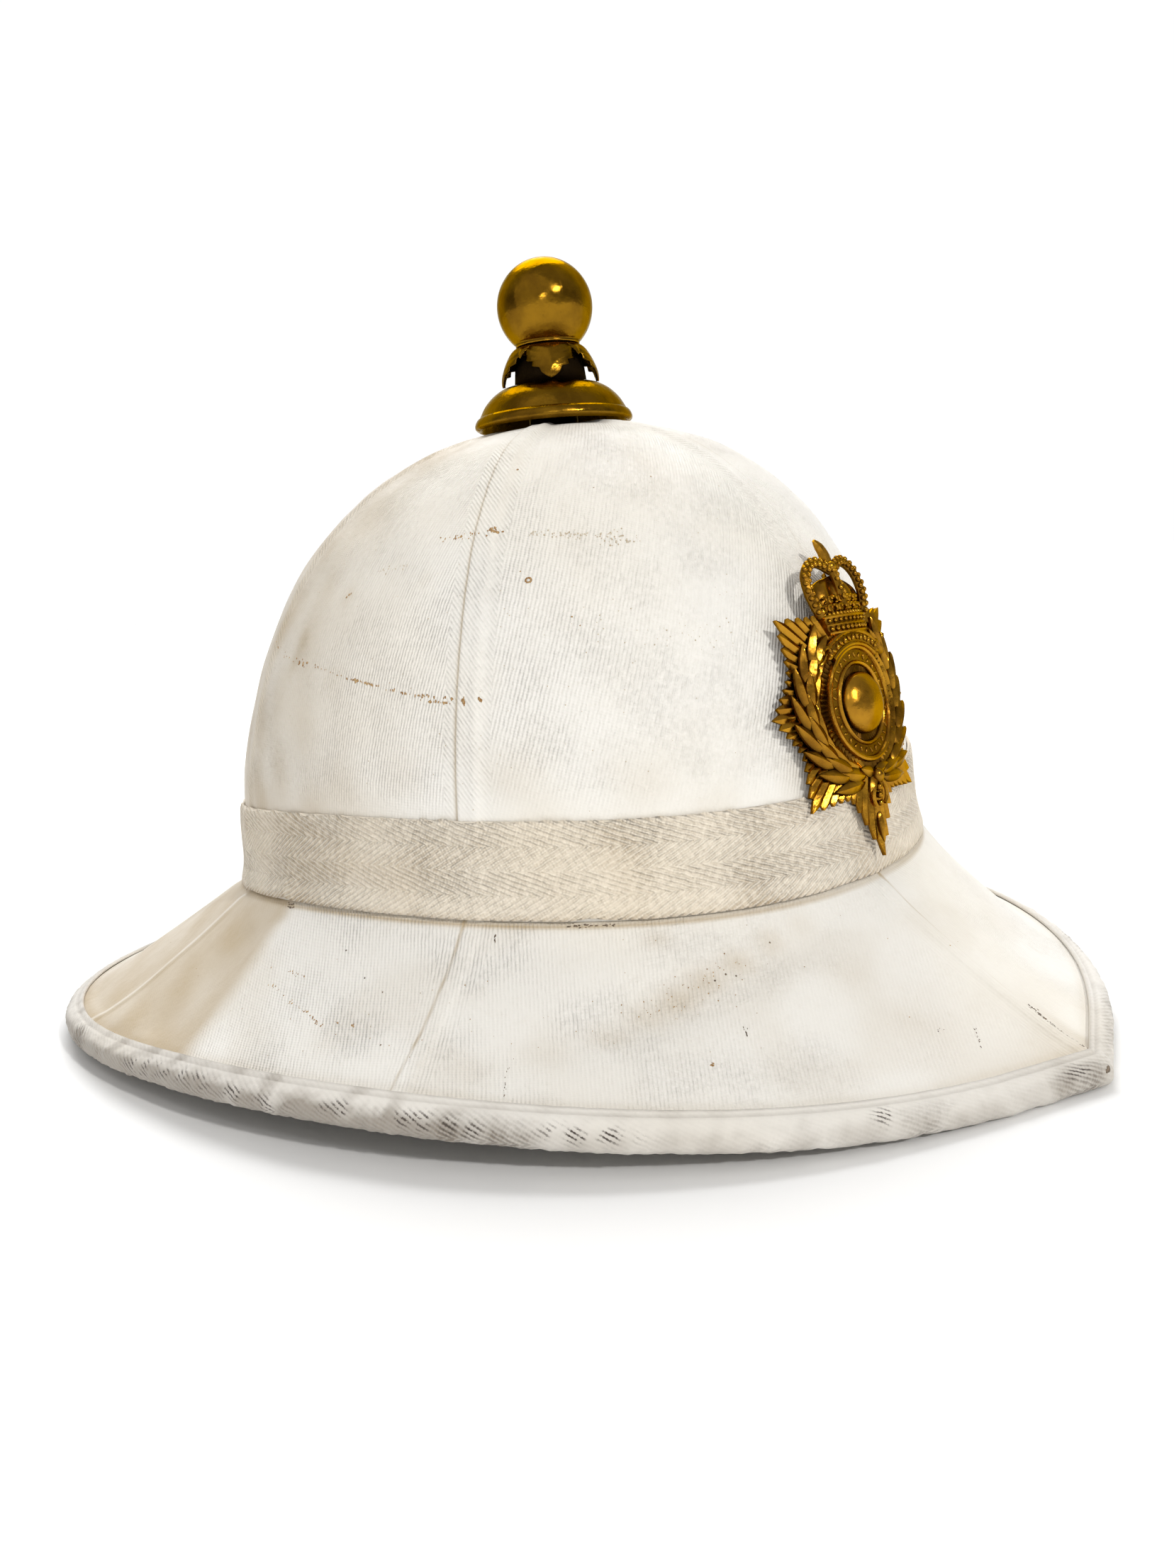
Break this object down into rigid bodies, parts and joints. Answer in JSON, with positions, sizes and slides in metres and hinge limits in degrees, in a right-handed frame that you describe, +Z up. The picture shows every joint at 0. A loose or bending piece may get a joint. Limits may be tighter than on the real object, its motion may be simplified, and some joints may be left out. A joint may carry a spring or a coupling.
{
  "type": "pith helmet",
  "caption": "White cloth-covered cork sun helmet with a flared brim, a tape band, a brass ball on a leaf collar and a brass star badge.",
  "frame": {"origin": "middle of the brim's outline, on the surface that the helmet rests on", "axes": "+Z up, the front and its badge face -Y, the wearer's right is -X"},
  "size_m": [0.3058, 0.3846, 0.2466],
  "materials": {
    "white_cloth": "painted twill, matt, worn and stained",
    "band_tape": "cream herringbone tape, matt",
    "brass": "polished, mellowed"
  },
  "bodies": {
    "root": {"crown": "white_cloth", "brim": "white_cloth", "brim_binding": "white_cloth", "hat_band": "band_tape", "top_base": "brass", "collar_stem": "brass", "leaf_collar": "brass", "top_ball": "brass", "badge_plate": "brass", "badge_boss": "brass"}
  },
  "joints": []
}
